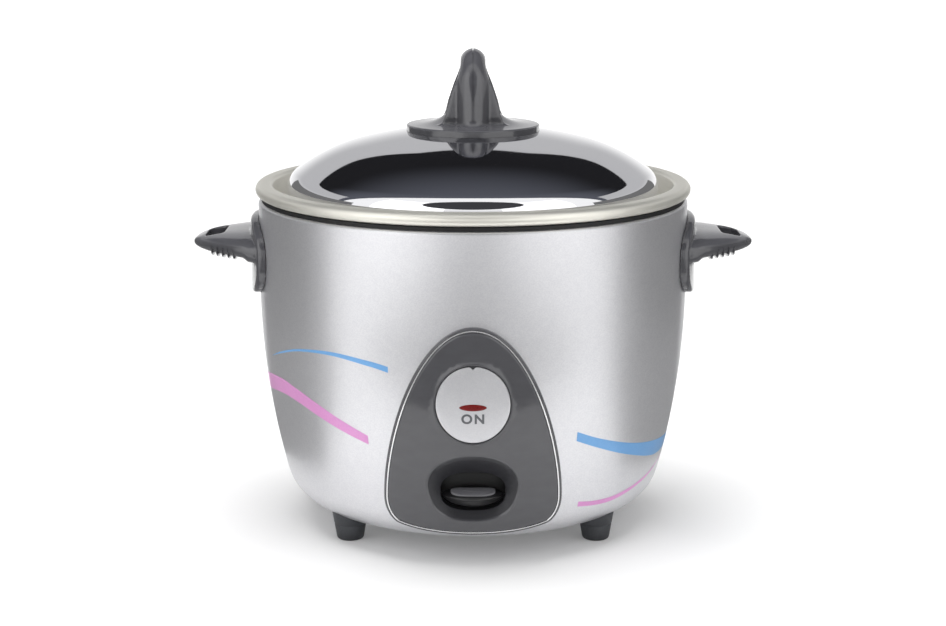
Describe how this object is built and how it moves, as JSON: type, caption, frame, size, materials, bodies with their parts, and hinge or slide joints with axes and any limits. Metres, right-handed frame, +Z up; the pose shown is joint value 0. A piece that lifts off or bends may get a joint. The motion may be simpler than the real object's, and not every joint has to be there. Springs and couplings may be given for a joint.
{
  "type": "rice cooker",
  "caption": "Electric rice cooker with a silver shell, grey side handles and front panel with a cook lever, lift-out pan and polished domed lid with a loop knob.",
  "frame": {"origin": "the shell's axis at the level of the table that the feet stand on", "axes": "+Z up along the axis of the shell, -Y towards the front panel, +X towards the right handle seen from the front"},
  "size_m": [0.302, 0.2345, 0.2538],
  "materials": {
    "shell_paint": "fine silver metallic paint",
    "liner_black": "matt black heat-proof paint",
    "plated_steel": "zinc plated sheet",
    "screw_steel": "nickel plated",
    "foot_rubber": "matt dark grey",
    "grey_plastic": "glossy dark grey phenolic",
    "badge_silver": "satin silver",
    "lens_red": "clear red",
    "lamp_glass": "clear",
    "black_plastic": "black",
    "pad_grey": "satin grey",
    "plunger_red": "red",
    "cast_aluminium": "machined casting",
    "element_steel": "oxidised sheath",
    "ceramic_white": "glazed ceramic",
    "brass_parts": "tinned brass",
    "magnet_grey": "sintered ferrite",
    "rod_steel": "turned steel",
    "spring_steel": "spring wire",
    "fuse_metal": "plated can",
    "wire_brown": "silicone sleeve",
    "wire_blue": "silicone sleeve",
    "wire_white": "glass fibre sleeve",
    "pan_aluminium": "warm satin anodised",
    "lid_steel": "mirror polished stainless steel"
  },
  "bodies": {
    "housing": {"outer_shell": "shell_paint", "inner_liner": "liner_black", "base_plate": "plated_steel", "base_screws": "screw_steel", "feet": "foot_rubber", "foot_screws": "screw_steel", "foot_nuts": "screw_steel", "left_handle": "grey_plastic", "right_handle": "grey_plastic", "handle_screws": "screw_steel", "front_panel": "grey_plastic", "panel_screws": "screw_steel", "indicator_badge": "badge_silver", "indicator_lens": "lens_red", "indicator_lamp": "lamp_glass", "lamp_holder": "black_plastic", "lever_pin": "screw_steel", "switch_bracket": "plated_steel", "bracket_screws": "screw_steel", "microswitch": "black_plastic", "switch_screws": "screw_steel", "heating_plate": "cast_aluminium", "heater_element": "element_steel", "terminal_insulators": "ceramic_white", "heater_terminals": "brass_parts", "heater_legs": "plated_steel", "leg_screws": "screw_steel", "sensor_bracket": "plated_steel", "sensor_screws": "screw_steel", "sensor_spring": "spring_steel", "magnet_spring": "spring_steel", "thermal_fuse": "fuse_metal", "fuse_clip": "plated_steel", "power_inlet": "black_plastic", "inlet_pins": "brass_parts", "inlet_screws": "screw_steel", "wire_live": "wire_brown", "wire_switched": "wire_brown", "wire_fused": "wire_brown", "wire_neutral": "wire_blue", "wire_lamp": "wire_white"},
    "pan": {"inner_pan": "pan_aluminium"},
    "lid": {"lid_dome": "lid_steel", "lid_handle": "grey_plastic", "lid_screw": "screw_steel", "lid_washer": "screw_steel"},
    "lever": {"lever_knob": "black_plastic", "lever_cap": "pad_grey", "lever_arm": "plated_steel"},
    "magnet_slide": {"magnet": "magnet_grey", "magnet_rod": "rod_steel"},
    "sensor": {"sensor_cup": "cast_aluminium", "sensor_ferrite": "magnet_grey"},
    "plunger": {"switch_plunger": "plunger_red"}
  },
  "joints": [
    {"name": "pan_lift", "type": "slide", "parent": "housing", "child": "pan", "axis": [0, 0, 1], "range_m": [0, 0.14]},
    {"name": "lid_lift", "type": "slide", "parent": "pan", "child": "lid", "axis": [0, 0, 1], "range_m": [0, 0.08]},
    {"name": "cook_lever", "type": "hinge", "parent": "housing", "child": "lever", "pos_m": [0, -0.045, 0.03], "axis": [-1, 0, 0], "range_deg": [0, 5.4]},
    {"name": "magnet_drop", "type": "slide", "parent": "housing", "child": "magnet_slide", "axis": [0, 0, 1], "range_m": [-0.0045, 0], "deforming": ["magnet_spring"]},
    {"name": "sensor_press", "type": "slide", "parent": "housing", "child": "sensor", "axis": [0, 0, 1], "range_m": [-0.0015, 0], "stiffness_N_per_m": 400, "springref_m": 0.004, "deforming": ["sensor_spring"]},
    {"name": "switch_press", "type": "slide", "parent": "housing", "child": "plunger", "axis": [0, 0, 1], "range_m": [0, 0.0015]}
  ],
  "couplings": [
    {"joint": "magnet_drop", "follows": "cook_lever", "m_per_rad": -0.045},
    {"joint": "switch_press", "follows": "cook_lever", "m_per_rad": 0.015}
  ]
}
